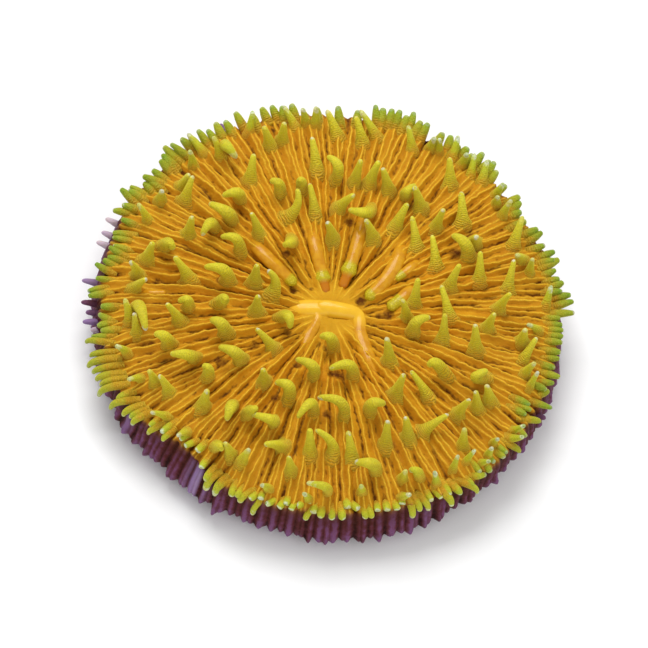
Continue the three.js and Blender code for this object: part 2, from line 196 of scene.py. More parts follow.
# Radius of an upright and of a hooked tentacle at shares of its length, the foot at 0
GIRTH_SHARES = [-0.3, 0.0, 0.12, 0.25, 0.5, 0.75, 0.95, 1.0]
UPRIGHT_GIRTH = [2.2, 2.0, 1.65, 1.38, 1.04, 0.8, 0.6, 0.55]
HOOK_SHARES = [-0.3, 0.0, 0.2, 0.45, 0.7, 0.9, 1.0]
HOOK_GIRTH = [1.8, 1.55, 1.3, 1.42, 1.1, 0.74, 0.58]
LAST_RING = 0.985
TIP_CROWDING = 1.45
TIP_ROUNDING = 1.1
BEND_SHARE = 1.7
BEND_START = 0.15
STRAIGHT = 1e-6
# Distance between the fine rings of colour round a tentacle
RING_SPACING = 0.46
BEND_SMOOTHING = np.ones(7) / 7

# Tentacle places in millimetres: foot x, foot y, tip x, tip y and, on a bent one, knee x, knee y.
# They are seen from the viewer's side, 59.7 degrees above the level, and laid on the rim's plane,
# so a point that stands one millimetre above that plane is listed SIGHT_SHIFT further back.
SIGHT_SHIFT = 0.583
TENTACLES = [
    # Far side
    [-26.7, 43.4, -26.8, 50], [-35.8, 35.5, -40.9, 40.5], [-32, 35.5, -34.8, 41],
    [-31, 38.2, -28.3, 36.4, -31.4, 40.4], [-37.9, 31.5, -39.6, 36], [-24.3, 30.6, -24.6, 38.4],
    [-38.5, 21.8, -37.6, 29.4], [-39.6, 25.5, -38.6, 29.5], [-16, 47.2, -20, 53],
    [-18.7, 43, -19, 48.4], [-21.2, 41, -23.6, 46.3], [-13.8, 48.7, -15.5, 53.2],
    [-11.7, 48.7, -12.4, 54.4], [-6, 47.2, -9.8, 54.1], [3.1, 49.1, -2.1, 55.8],
    [0, 46.8, -2.8, 53.9], [11.8, 47.4, 9.7, 54.2], [16, 48.7, 16.4, 52.2],
    [18.1, 48.2, 17.6, 52.2], [21.7, 47.7, 21.8, 54.1], [22.1, 40.1, 20.7, 47.7],
    [24.2, 46.5, 24.6, 49.6], [26.4, 43, 26.4, 50.1], [29.3, 42, 29.6, 49.1],
    [32.9, 39.1, 34.4, 43.5], [33.5, 37.2, 33.6, 39.6], [35.3, 34.2, 36.9, 39.5],
    [39.3, 26.8, 40.2, 35.8], [26.7, 30.3, 24.9, 39.1], [16.4, 32, 13.9, 38],
    [12.4, 35.3, 14, 38.4, 12.3, 37.5], [20.5, 27.7, 21.7, 33.5], [11.2, 25.5, 13.1, 33.2],
    [-9.3, 37, -12, 46], [-4.8, 35, -7.5, 41.5, -4.6, 40.6], [-0.2, 35.6, 0.4, 42.5],
    [3.3, 36, 4.6, 43], [8.1, 35.3, 5.7, 41.3], [-11.8, 31, -12.9, 33.2, -12.5, 34.9],
    [-16.7, 29.1, -19.4, 31.9, -17.6, 33], [-14.5, 22.4, -13.1, 31.3, -12.3, 26.8],
    [-7.7, 25.1, -10.4, 33.4], [-2.7, 27.8, 0.4, 32.7], [4.8, 29.3, -0.2, 28.4, 3.6, 29.6],
    # Left
    [-43.9, 20.8, -44.1, 23.7], [-27, 19.6, -32.6, 22.8, -28.2, 22.6],
    [-25.8, 25.4, -29.9, 25.5, -26.8, 28.3], [-36, 12.9, -35.9, 18.4],
    [-30.4, 16.6, -32.8, 13.8, -31.6, 18.7], [-45.8, 14.6, -49, 19.1], [-44.4, 4.2, -43.7, 9.5],
    [-41.3, 8.7, -38.9, 8.7, -39.9, 11.4], [-33.8, 1.4, -38.2, 6.8],
    [-24.7, 2.8, -30.8, 5.6, -26.3, 7], [-23.2, 11, -28.4, 14.4, -24.8, 15.9],
    [-19.7, 16.8, -22.5, 22.5], [-11.8, 17.2, -13.4, 15.6, -12.4, 17.6], [-18.7, 3.8, -18.8, 8.9],
    [-14.4, 1, -16.2, 8, -13.8, 5.3], [-2.5, 19.4, -4.6, 23.9], [-17, -3.8, -17.2, 0.7],
    [-26.2, -4, -25.1, -3, -24.7, -0.5], [-45.7, -0.1, -48, 3.2], [-46, -4, -43.5, -0.6],
    [-32.7, -6.3, -35.1, -4.9, -33.3, -2.8], [-34, -10.4, -37.8, -6.1], [-45.2, -13.2, -47.6, -6.9],
    [-44.5, -9.3, -41.3, -14.4, -43.6, -7.4], [-43.3, -16.2, -44.8, -10.2],
    [-35.2, -17, -39, -14.8, -36.8, -13.7], [-44.4, -21.5, -47.5, -19.9],
    [-28.9, -19.2, -34.6, -19.2, -30.8, -17.4], [-36.8, -28, -38.8, -24.7],
    [-33.1, -29.9, -36.2, -25.4], [-40.1, -27.4, -43.2, -28.2],
    [-22.7, -11.3, -26.9, -8.2, -24.4, -7.4], [-11.3, -12.8, -16.2, -8.1],
    [-18.2, -17.5, -23.8, -14.9, -20, -14.3], [-1, -18.2, -5.7, -14.2, -1.6, -13.9],
    [-12, -22.2, -12.7, -18.5], [-25.1, -24, -26.4, -21, -25.3, -19.8],
    [-5.6, -25.4, -9.3, -21.5, -6.2, -20.5], [-24.9, -31.8, -24.5, -26.9],
    [0.8, -28, -2.7, -29.7, -0.4, -23.9], [-18.2, -30.2, -18.8, -34, -18.4, -29],
    [-14.4, -31.3, -12.7, -29.4, -13.4, -28.6], [-8.2, -32, -13.3, -30.9, -8.6, -30.2],
    [-11.2, -4.2, -8.4, -6.3, -9.4, -2],
    # Right
    [6.8, 21.5, 4.1, 26.6], [17.2, 21.5, 14.6, 30], [22.5, 17.4, 20.1, 26],
    [29.6, 21.4, 24.8, 26.8, 28, 26.6], [30, 25.6, 30.4, 27.7], [33, 16, 31.9, 24.1],
    [26.3, 12.4, 27.8, 19.6], [19, 6, 18.8, 13.7], [18, 2, 16.1, 7.2],
    [20.1, -1.3, 23.2, 3.8, 20.4, 3.2], [27.8, 4.5, 24.4, 13], [27.2, -1.8, 26.5, 5.6],
    [35.1, -2.6, 33.9, 4.4], [39.9, 14.9, 40.1, 23.7], [42, 23.6, 40.4, 24.9],
    [44.2, 20.4, 44.3, 24.9], [38.5, 9.2, 40.7, 14.4], [36.8, 3.4, 37.9, 8.2],
    [49.4, 12.2, 49.8, 18.7], [49, 5.6, 45.9, 7], [45.4, 1.7, 45.7, 5.6], [46.4, -3.4, 48.7, 4.1],
    [47.3, -6.8, 49.4, -2.8], [49, -10.4, 50.5, -4.9], [15.9, -10.3, 14.1, -3.7],
    [18.7, -18.8, 19.8, -12.5], [26.2, -17.4, 21.1, -11.3], [29.8, -11.2, 25.1, -9.2, 26.6, -6.8],
    [13.7, -24.3, 16.7, -21.5, 14, -20.6], [23.5, -29.6, 22, -23.7], [18.6, -32.5, 18, -25.6],
    [26.5, -27.2, 31.7, -20.9], [33.7, -20.9, 35.9, -15.9], [38, -18.2, 36.9, -13.4],
    [40.6, -15.5, 39.1, -11.3], [38.6, -9.2, 38.7, -7.3, 36.2, -8.3], [36.3, -29.1, 36, -23.7],
    [37.5, -33.6, 39.4, -28.8], [35.1, -36, 35.7, -31.2], [43.2, -26.6, 44.2, -24.9],
    [42.5, -30.4, 43.2, -27.5], [41.1, -32.6, 43.3, -31.2], [47.5, -23, 49.7, -19.9],
    [48, -25.4, 49.8, -23], [8.2, -16.1, 2.4, -15.1, 6.6, -11.8], [7.8, -27.3, 1, -23.2, 6.4, -22],
    [2.5, -9.4, -1, -7, 1.2, -5.5],
    # Near side
    [1.7, -38.7, 0.6, -31.7], [6.9, -38, 2, -31.8, 6, -34.2], [11.6, -38, 9.4, -30.4],
    [-1.8, -44.3, -3, -40.3], [-4.6, -38.2, -9, -38.2], [-13.6, -44.6, -12.3, -40.3],
    [-16.2, -43.2, -18.2, -39.9], [-20.2, -41.4, -18.6, -41.8, -19.3, -39.8],
    [7.4, -47.8, 2.3, -46.3, 6.6, -45.1], [3.6, -50.9, 2, -49.2], [-6, -50.1, -8, -49.2],
    [17.4, -39.4, 12.4, -38.4, 16.2, -36.7], [24, -40.8, 24.4, -38],
    [27.9, -39.2, 25.4, -37.6, 26.9, -36.3], [32.1, -40.6, 31, -36.7], [15.3, -46.2, 14.8, -44.2],
    [24.8, -46.1, 26.5, -44], [-32.4, -36.2, -36.5, -35.7], [-27.4, -39.2, -29.3, -40.5],
]

# Fringe: small blunt tentacles where the septa end at the rim, seen in the same way.
# Angle of the tip, radius of the tip, angle of the foot, radius of the foot, in degrees and millimetres.
FRINGE = [
    [1.5, 54.9, 1.3, 52], [4, 55, 3.8, 52], [5.8, 55, 5.6, 52], [7.7, 55, 7.6, 52], [9.2, 54.7, 9.2, 52],
    [11, 54.2, 11, 52], [12.5, 57.6, 12.2, 53], [15.6, 57.7, 14.3, 54], [17.4, 57.2, 17, 54],
    [21.2, 56, 20, 53.5], [22.2, 55.3, 22, 53.5], [24.8, 55, 24, 53], [27.3, 56.6, 26, 53],
    [29.6, 56.3, 29, 53], [35.6, 55.5, 34.5, 52.5], [36.9, 55, 37, 52], [43, 53.8, 43, 52.3],
    [45.2, 55.2, 44.5, 53], [46.8, 55.9, 46.8, 53], [55.2, 56.3, 54.5, 53.5], [57.3, 57.6, 56, 53],
    [60.8, 57.6, 60, 53.5], [64.5, 56.4, 64.5, 54], [69.5, 56.8, 68, 54.3], [75.5, 57, 75.5, 53.5],
    [77.3, 56.8, 77.5, 53.5], [79.8, 58.4, 79.5, 54.5], [82.8, 57.7, 82.5, 54.3], [84.8, 57.4, 84.5, 54],
    [86.7, 57, 86.5, 53.5], [88.8, 57.3, 87.5, 53.5], [97.5, 55.5, 96.5, 51], [108.8, 56.2, 108.5, 53],
    [113.6, 56.5, 113, 54], [116, 56.5, 115.5, 54], [122.4, 57.1, 122, 54], [128, 56.4, 128.5, 53],
    [132.8, 56.6, 133, 53], [137.5, 56.8, 137.2, 54.3], [140.3, 57.1, 139, 52], [142, 57.7, 141.5, 53],
    [143.7, 56.4, 145, 52], [145.3, 55.6, 146, 52.5], [148.6, 55.1, 148.5, 52.5], [151.5, 55.6, 150, 52],
    [152.8, 54.5, 153.5, 52.5], [155.8, 56.4, 155.5, 53.5],
    [157.6, 57.9, 159, 54], [161.3, 55.3, 160.5, 52.5],
    [163.8, 56.5, 162.5, 54], [169.5, 54.3, 168, 51], [170.7, 54, 170, 51], [173.5, 54, 175, 50],
    [177.5, 54.5, 178.5, 52], [179, 56.1, 180.5, 53], [187, 57, 185.5, 54], [188.3, 56.8, 187, 53],
    [193, 54.4, 195, 52], [196.7, 55, 196, 52.5], [199.2, 56.8, 199.5, 54], [200.7, 58.2, 202, 55],
    [207, 59.3, 206.5, 55.5], [208.8, 58.7, 208.5, 54.5], [210.8, 58.6, 211, 55], [214.7, 59.8, 214.5, 55],
    [217.3, 56, 217, 53.5], [218.8, 58.9, 219.5, 54.5], [221.7, 57.1, 221.5, 54], [224.8, 56.6, 224.5, 53],
    [227.5, 53.5, 227.3, 52], [229, 55, 229, 52.5], [232.6, 53.4, 232, 51], [237.5, 50.9, 238.3, 49],
    [245, 53, 244.7, 50], [247.7, 54.7, 247.5, 52], [249, 57, 249.3, 54], [251.5, 57.2, 253, 54],
    [255, 55.2, 254.5, 52], [257.5, 55.9, 259, 54.5], [259.5, 54.5, 260.5, 52.5], [261.3, 58, 263.5, 55],
    [263.5, 54.5, 265.5, 55], [266.8, 54.5, 267.5, 52.5],
    [268.3, 53.3, 268.5, 52], [269.8, 54.4, 270.5, 52.5],
    [271.3, 52.6, 272.5, 54], [273.7, 56, 275.5, 54.3], [275.3, 54.3, 275.5, 53], [277.3, 54.8, 277.5, 53],
    [280, 55.2, 280, 53], [282.5, 55.1, 282.3, 53], [287, 53, 285.5, 51.8], [288.2, 55.1, 288.2, 53.3],
    [289.7, 55.1, 289.3, 53], [291.5, 54, 291.8, 52.5], [293.8, 54.3, 294, 52.5], [296.5, 54.6, 296.3, 53],
    [299.2, 57.2, 300, 54.8], [303.5, 56.6, 303, 54], [305.4, 55, 305.3, 52.5], [307.8, 55.2, 307.5, 53],
    [309, 57.8, 308.5, 55.5], [312.5, 56, 312, 54.3], [316, 58, 314, 56], [316.2, 56, 316, 55],
    [321, 55.3, 317.5, 56], [322.2, 55.7, 322.5, 54.5], [327.5, 55.2, 327, 53], [331.2, 56.6, 331, 54.7],
    [341, 56, 339.5, 53], [342.8, 53, 342.5, 50.5], [345.8, 57.1, 345.5, 53], [350, 54.7, 348, 53.5],
    [352.5, 55.2, 352, 53], [354.5, 56.1, 354.5, 52.5], [359.5, 54.9, 359, 52.5],
]
FRINGE_RISE_NEAR = math.radians(-8)
FRINGE_RISE_FAR = math.radians(38)
SLANT_SPREAD = 0.12
FRINGE_SINK = 0.4
FRINGE_ROOT = 2.2
ROOT_DROP = 0.5
STUB_ROOT_DROP = 0.9
FRINGE_INSET = 0.6
FRINGE_ARCH = 0.4
FRINGE_SHARES = [0.0, 0.3, 0.6, 1.0]
FRINGE_FAR_STRETCH = 0.8
FRINGE_GIRTH_FAR = [1.35, 1.25, 1.02, 0.52]
FRINGE_GIRTH_SIDE = [0.95, 0.95, 0.82, 0.45]
FRINGE_GIRTH_NEAR = [0.9, 0.88, 0.86, 0.78]
GIRTH_SPREAD = (0.88, 1.12)
FRINGE_SIDES = 14
FRINGE_RINGS = 14
RIM_EDGE = 53.4
OVERHANG = 0.9
HANG_DROP = 0.7
HANG_BEND = 0.3
STUB_LENGTH = 1.5
# How far the rim faces the viewer, up to 1, where the fringe is kept in and where it turns stubby
INSET_FROM = 0.3
STUBBY_SPAN = (0.75, 0.95)
GREEN_FROM = 0.6
FAR_GREEN = 0.75
# Fringe in wide gaps: the least gap in degrees, the place in it, how much shorter, and how long
FRINGE_GAP = 2.9
GAP_PLACE = (0.42, 0.58)
GAP_SHORTENING = (0.2, 1.0)
GAP_LENGTH = 3

# Spines: rib ends that stand out past the rest.
# At the sides, the angle and radius of the tip, as seen, and how pale.
# On the near side, the angle and how far out.
SIDE_SPINES = [
    [127, 56.2, 0.6], [166.5, 57.5, 1.6], [170.3, 57, 1.4], [173.3, 57.3, 1.6], [184.2, 58.6, 1.0],
    [190, 58.5, 0.2], [192.7, 57.5, 0.4], [195.2, 58.4, 0.9], [197.5, 56.8, 1.4], [342.5, 57, 0.3],
]
LOW_SPINES = [
    [217.5, 0.9], [219.3, 1.8], [221.5, 0.9], [224.3, 1.9], [228.8, 1.2], [237.5, 0.7], [247, 1.4],
    [251.5, 1.9], [262, 0.9], [275, 1.5], [279, 1.1], [288, 0.9], [292.5, 0.9], [299.5, 1.0],
    [303.5, 1.1], [307.8, 1.2], [317, 0.8], [326, 0.9],
]
SIDE_SPINE_LEVEL = 9.5
SPINE_ROOT_LEVEL = 8.5
SPINE_ROOT_RADIUS = 52.8
SPINE_ARCH = 0.8
# Shade painted on a spine at its root, under the rim, and how much of it fades by the tip
SPINE_PAINTED_SHADE = (0.45, 0.35)
SPINE_SHARES = [0.0, 0.5, 0.85, 1.0]
SPINE_GIRTH = [0.85, 0.85, 0.6, 0.35]

# Lobes: thick smooth ends of the septa beside the mouth, seen in the same way.
# Angle and radius of the inner end, then of the outer end, in degrees and millimetres, the girth,
# and the share along it from which it is grainy.
LOBES = [
    [148, 10.6, 145, 25.8, 1.0, 0.8],
    [36, 9.4, 57.4, 25.4, 1.05, 0.82],
    [42, 18.1, 45, 25.5, 0.7, 0.6],
    [17.4, 13.7, 31.3, 21, 0.95, 0.45],
]
LOBE_SHARES = [0.0, 0.3, 0.7, 0.84, 0.93, 1.0]
LOBE_GIRTH = [1.5, 1.8, 1.65, 1.5, 1.4, 1.0]
# Two that end in a cup on a narrow neck
CUPPED_LOBES = [
    [109, 5.0, 110.5, 22, 1.0],
    [77, 7.2, 82.5, 28, 1.0],
]
CUP_SHARES = [0.0, 0.3, 0.62, 0.68, 0.76, 0.79, 0.83, 1.0]
CUP_GIRTH = [1.5, 1.75, 1.5, 1.6, 2.0, 1.75, 1.2, 1.15]
CUP_GRAIN = (0.62, 0.79)
CUP_NECK = 0.35
NECK_FROM = 0.78
PAST_THE_END = 1.1
NO_GRAIN = (1.1, 1.2)
GRAIN_FADE = (0.06, 0.03)
LOBE_SINK = 0.45
LOBE_ROOT_DROP = 1.5
LOBE_ROOT_FADE = 0.12
LOBE_FLATNESS = 0.72
GOLD_SPAN = (-4, 0)
# A short smooth ridge near the rim, in the same form
SMOOTH_RIDGE = [184.6, 38.6, 185.8, 44.0, 0.55]
LOBE_SIDES = 20
LOBE_RINGS = 30

# Camera, from the photograph's ellipse of the rim
SIGHT_ELEVATION = math.radians(59.7)
SIGHT_ROLL = math.radians(11)
LENS = 900.0
SENSOR = 36.0
IMAGE_SIDE = 648
PIXELS_PER_MM = 4.27
RIM_CENTRE_PIXEL = (329.7, 312.4)
CLIP_START = 0.01

# Studio, in metres and watts. Each light has its place, the side of its square and its power.
LIGHTS = {"key": ((-0.15, 0.32, 0.6), 0.4, 3.6), "fill": ((0.25, -0.5, 0.5), 0.6, 1.2)}
LIGHT_AIM = (0, 0, 0.01)
SKY_STRENGTH = 0.64
FLOOR_HALF_SIDE = 8.0
FLOOR_COLOUR = (0.9, 0.9, 0.9, 1)
FLOOR_ROUGHNESS = 0.8


def smoothstep(value, low, high):
    share = np.clip((value - low) / (high - low), 0, 1)
    return share * share * (3 - 2 * share)


def crest_level(radius):
    """Height of the septa's crests at a radius, with the outline's corners rounded."""
    radius = np.asarray(radius, float)
    spread = np.abs(radius[..., None] + CROWN_SMOOTHING)
    return np.interp(spread, CROWN_RADII, CROWN_LEVELS).mean(-1)


def wave_sum(angles, waves):
    """How far an outline leaves its circle at each angle, in millimetres."""
    out = np.zeros(len(angles))
    for middle, reach, amount in waves:
        apart = (np.degrees(angles) - middle + 180) % 360 - 180
        out += amount * np.exp(-((apart / reach) ** 2))
    return out


# Septa

septum_index = np.arange(SEPTA)
septum_cycle = np.select(
    [septum_index % 16 == 0, septum_index % 16 == 8, septum_index % 8 == 4, septum_index % 4 == 2],
    [0, 1, 2, 3],
    4,
)
septum_angle = FULL_TURN * septum_index / SEPTA
septum_start = CYCLE_STARTS[septum_cycle] + CYCLE_START_JITTER[septum_cycle] * rng.uniform(-1, 1, SEPTA)
septum_strength = CYCLE_STRENGTHS[septum_cycle] * rng.normal(1, STRENGTH_SPREAD, SEPTA)
septum_shift = SPACING_JITTER * FULL_TURN / SEPTA * rng.uniform(-1, 1, SEPTA)
septum_skew = FLANK_SKEW * rng.uniform(-1, 1, SEPTA)
septum_phase = rng.uniform(0, FULL_TURN, (6, SEPTA))
septum_wander = np.stack([rng.uniform(*rates, SEPTA) for rates in SWAY_RATES])
rib_strength = np.where(septum_index % 2 == 0, 1.0, MINOR_RIB) * rng.uniform(*RIB_SPREAD, SEPTA)


def septum_sway(radius):
    """Sideways wander of each septum at a radius, in millimetres."""
    slow = np.sin(radius / SLOW_SWAY_LENGTH + septum_phase[0])
    quick = QUICK_SWAY * np.sin(radius * septum_wander[0] + septum_phase[1])
    fine = FINE_SWAY * np.sin(radius * septum_wander[1] + septum_phase[5])
    return SWAY * smoothstep(radius, *SWAY_RADII) * (slow + quick + fine) + radius * septum_shift


def septum_rise(radius):
    """How far each septum has come up out of the disc at a radius, from 0 to 1."""
    ramp = CYCLE_RAMPS[septum_cycle]
    return smoothstep(radius, septum_start - ramp, septum_start + ramp)


def septum_height(radius):
    """Height of each septum at a radius, as a share of the groove depth."""
    slow = np.sin(radius / SWELL_LENGTH + septum_phase[4])
    first, second = TOOTH_LENGTHS
    teeth = np.sin(radius / first + septum_phase[2]) + np.sin(radius / second + septum_phase[3])
    return septum_rise(radius) * septum_strength * (1 + SWELL * slow + TOOTH_HEIGHT * teeth)


def column_angles(radius):
    """Angles of the mesh columns at a radius: they follow the septa as those wander."""
    each = len(COLUMN_OFFSETS)
    sway = septum_sway(radius) / max(radius, 1.0)
    here = np.repeat(sway, each)
    offset = np.tile(COLUMN_OFFSETS, SEPTA)
    beside = np.where(offset < 0, np.repeat(np.roll(sway, 1), each), np.repeat(np.roll(sway, -1), each))
    wander = here + np.abs(offset) * (beside - here)
    pitch = FULL_TURN / SEPTA
    return np.repeat(septum_angle, each) + offset * pitch + wander


def septum_distance(radius, angles):
    """Signed distance along the ring from each column to each septum's crest."""
    crest_angle = septum_angle + septum_sway(radius) / max(radius, 1.0)
    apart = angles[:, None] - crest_angle[None, :]
    return radius * ((apart + math.pi) % FULL_TURN - math.pi)


def ridge_share(distance, heights, slopes, depth, rounding):
    """Share of the groove depth at each column: the highest of the ridges that reach it."""
    drop = slopes * (np.hypot(distance, rounding) - rounding) / depth
    return np.maximum((heights[None, :] - drop).max(1), 0)


# Tentacle centre lines

def foot_point(x, seen_y):
    """Where a foot that is listed as seen really stands on the disc."""
    y = seen_y
    level = 0.0
    for _ in range(FOOT_PASSES):
        level = crest_level(math.hypot(x, y)) - FOOT_SINK
        y = seen_y - SIGHT_SHIFT * (level - RIM_HEIGHT)
    return np.array([x, y, level])


def upright_rise(seen_x, seen_y, length):
    """The rise of an upright tentacle whose tip is seen this far from its foot."""
    reach = math.hypot(seen_x, seen_y)
    slant = 1 + SIGHT_SHIFT**2
    shortest = STRETCH * math.hypot(seen_x, seen_y / math.sqrt(slant))
    real = max(length, shortest)
    lean = SIGHT_SHIFT * seen_y
    return (lean + math.sqrt(lean**2 - slant * (reach**2 - real**2))) / slant


def is_hooked(place):
    """Whether a tentacle turns over at its knee. One whose tip is seen well above its knee only curves."""
    return len(place) > 4 and place[3] < place[5] + CURVE_RISE


def tentacle_path(place):
    """Foot, bend and tip of a tentacle's centre line."""
    foot = foot_point(place[0], place[1])

    def seen(x, y, height):
        return foot + np.array([x - place[0], y - place[1] - SIGHT_SHIFT * height, height])

    if len(place) > 4:
        sink, knee_height, tip_height = HOOK_FORM if is_hooked(place) else CURVE_FORM
        knee = seen(place[4], place[5] - sink, knee_height)
        tip = seen(place[2], place[3], tip_height)
        return foot, 2 * knee - (foot + tip) / 2, tip
    near_rim = smoothstep(math.hypot(foot[0], foot[1]), CROWN_RADII[-3], RIM_RADIUS)
    length = TENTACLE_LENGTH + near_rim * (TENTACLE_LENGTH_AT_RIM - TENTACLE_LENGTH)
    rise = upright_rise(place[2] - place[0], place[3] - place[1], length)
    tip = seen(place[2], place[3], rise)
    bend = (foot + tip) / 2
    bend[:2] = foot[:2] + LEAN_AT_ROOT * (tip[:2] - foot[:2])
    return foot, bend, tip


tentacle_paths = [tentacle_path(place) for place in TENTACLES]


# Body mesh

def mouth_relief(x, y):
    """The mouth's slit and all the hollows, each from 0 outside to about 1 at its deepest."""
    along = x - SLIT_CENTRE[0]
    aside = y - SLIT_CENTRE[1] - SLIT_TILT * along
    ends = 1 - smoothstep(np.abs(along), SLIT_HALF_LENGTH - SLIT_FADE, SLIT_HALF_LENGTH)
    slit = ends * np.exp(-((aside / SLIT_HALF_WIDTH) ** 2))
    shaded_hollow = np.zeros(len(x))
    full, none = HOLLOW_FADE
    for middle_x, middle_y, reach, strength in HOLLOWS:
        away = np.hypot(x - middle_x, y - middle_y)
        shaded_hollow = np.maximum(shaded_hollow, strength * (1 - smoothstep(away, full * reach, none * reach)))
    return slit, shaded_hollow


def foot_mounds(x, y):
    """How far the septa rise to the tentacles that stand on them, from 0 to 1."""
    mound = np.zeros(len(x))
    for foot, _, _ in tentacle_paths:
        ahead = outward(foot)
        along = (x - foot[0]) * ahead[0] + (y - foot[1]) * ahead[1]
        aside = (y - foot[1]) * ahead[0] - (x - foot[0]) * ahead[1]
        mound = np.maximum(mound, np.exp(-((along / MOUND_LENGTH) ** 2) - (aside / MOUND_WIDTH) ** 2))
    return mound


def outward(point):
    """The level direction away from the disc's middle."""
    away = np.array([point[0], point[1], 0.0])
    return away / norm(away)


def painted_groove_shade(share):
    """How deep each column lies between the crests beside it: 0 on a crest, near 1 in a deep groove."""
    # The result sets how much shade is painted into the groove
    depth = 1 - share
    beside = np.max([np.roll(depth, step) for step in range(-GROOVE_REACH, GROOVE_REACH + 1)], axis=0)
    shade = SHALLOW_SHADE + (1 - SHALLOW_SHADE) * np.minimum(beside / DEEP_GROOVE, 1)
    return depth / np.maximum(beside, LEAST_GROOVE) * shade


def top_ring(radius):
    """Points of one ring of the disc's top, and the values its colour depends on."""
    angles = column_angles(radius)
    distance = septum_distance(radius, angles)
    towards_rim = smoothstep(radius, STEEPER_FROM, RIM_RADIUS)
    slope = FLANK_SLOPE + towards_rim * (FLANK_SLOPE_AT_RIM - FLANK_SLOPE)
    slopes = slope * (1 + septum_skew[None, :] * np.sign(distance))
    share = ridge_share(distance, septum_height(radius), slopes, SEPTUM_HEIGHT, CREST_ROUNDING)
    open_share = smoothstep(radius, *OPEN_RADII)
    depth = SEPTUM_HEIGHT * open_share * (1 - GROOVE_LOSS_AT_RIM * towards_rim)
    wave = smoothstep(radius, RIM_WAVE_START, RIM_RADIUS) * wave_sum(angles, RIM_WAVES)
    wave += RIM_SCALLOP * smoothstep(radius, SCALLOP_FROM, RIM_RADIUS) * (share - SCALLOP_MIDDLE)
    x = (radius + wave) * np.cos(angles)
    y = (radius + wave) * np.sin(angles)
    slit, shaded_hollow = mouth_relief(x, y)
    mound = foot_mounds(x, y)
    relief = depth * (1 - share) * (1 - MOUND_FILL * mound)
    relief += HOLLOW_SMOOTHNESS * shaded_hollow * (HOLLOW_DEPTH - relief)
    level = crest_level(radius) - relief - SLIT_DEPTH * slit + MOUND_HEIGHT * mound
    # Painted highlight: a thin bright line along each septum's crest
    line = np.exp(-((distance / CREST_HIGHLIGHT_WIDTH) ** 2)) * septum_rise(radius)[None, :]
    # groove holds the shade painted into the grooves between the septa
    groove = open_share * painted_groove_shade(share) * (1 - mound)
    values = {
        # The slit and the hollows add their own painted shade
        "groove": np.maximum.reduce([groove, SLIT_SHADE * slit, shaded_hollow]),
        "edge": line.max(1) * np.clip(share, 0, 1) * np.clip(1 - shaded_hollow, 0, 1),
        "skirt": np.full(COLUMNS, RIM_SHADE * smoothstep(radius, *RIM_SHADE_RADII)),
        "radius": np.full(COLUMNS, radius),
        "streak": streak_place(radius),
    }
    return np.stack([x, y, level], 1), values


def streak_place(radius):
    """A place for each column in which marks come out long and narrow along the septa."""
    angles = FULL_TURN * np.arange(COLUMNS) / COLUMNS
    depth = np.full(COLUMNS, radius / STREAK_STRETCH)
    return np.stack([STREAK_RADIUS * np.cos(angles), STREAK_RADIUS * np.sin(angles), depth], 1) * MM


def skirt_ring(radius, level):
    """Points of one ring of the ribbed skirt, and the values its colour depends on."""
    angles = column_angles(RIM_RADIUS)
    distance = septum_distance(RIM_RADIUS, angles)
    share = ridge_share(distance, rib_strength, RIB_SLOPE, RIB_HEIGHT, RIB_ROUNDING)
    spine = math.exp(-(((level - SPINE_LEVEL) / SPINE_SPREAD) ** 2))
    standing = smoothstep(level, *STANDING_LEVELS)
    upper = smoothstep(level, *UPPER_LEVELS)
    wave = upper * wave_sum(angles, RIM_WAVES) + (1 - upper) * standing * wave_sum(angles, SKIRT_WAVES)
    reach = math.degrees(SPINE_HALF_WIDTH / RIM_RADIUS)
    spines = wave_sum(angles, [[degrees, reach, amount] for degrees, amount in LOW_SPINES])
    rib = share * (RIB_REACH + RIB_REACH_AT_SPINES * spine) - RIB_MIDDLE
    out = radius + wave + spine * spines + standing * RIB_HEIGHT * rib
    shade = SKIRT_SHADE + (1 - SKIRT_SHADE) * smoothstep(level, *SKIRT_SHADE_LEVELS)
    depth = RIM_RADIUS + (RIM_HEIGHT - level)
    # On the skirt, groove sets the shade painted between the ribs
    values = {
        "groove": 1 - share,
        "edge": np.zeros(COLUMNS),
        "skirt": shade + wave_sum(angles, LILAC_RIBS),
        "radius": np.full(COLUMNS, depth),
        "streak": streak_place(depth),
    }
    return np.stack([out * np.cos(angles), out * np.sin(angles), np.full(COLUMNS, level)], 1), values


def make_body():
    top_radii = np.concatenate([np.arange(*run) for run in RING_RUNS] + [RIM_RINGS])
    rings = [top_ring(radius) for radius in top_radii]
    rings += [skirt_ring(radius, level) for radius, level in zip(SKIRT_RADII, SKIRT_LEVELS)]
    ends = np.array([[0, 0, crest_level(0.0)], [0, 0, 0]])
    vertices = np.concatenate([points for points, _ in rings] + [ends])
    end_values = {
        "groove": [0, 1],
        "edge": [0, 0],
        "skirt": [0, 1],
        "radius": [0, RIM_RADIUS + RIM_HEIGHT],
        "streak": np.zeros((2, 3)),
    }
    values = {
        key: np.concatenate([ring_values[key] for _, ring_values in rings] + [end_values[key]])
        for key in end_values
    }
    index = np.arange(len(rings) * COLUMNS).reshape(len(rings), COLUMNS)
    following = np.roll(index, -1, axis=1)
    quads = np.stack([index[:-1], index[1:], following[1:], following[:-1]], -1).reshape(-1, 4)
    top_end = np.full(COLUMNS, len(vertices) - 2)
    low_end = np.full(COLUMNS, len(vertices) - 1)
    top_fan = np.stack([top_end, index[0], following[0]], -1)
    low_fan = np.stack([index[-1], low_end, following[-1]], -1)
    faces = quads.tolist() + top_fan.tolist() + low_fan.tolist()
    return make_object("coral_body", vertices, faces, values)


def add_object(name, data):
    made = bpy.data.objects.new(name, data)
    bpy.context.collection.objects.link(made)
    return made


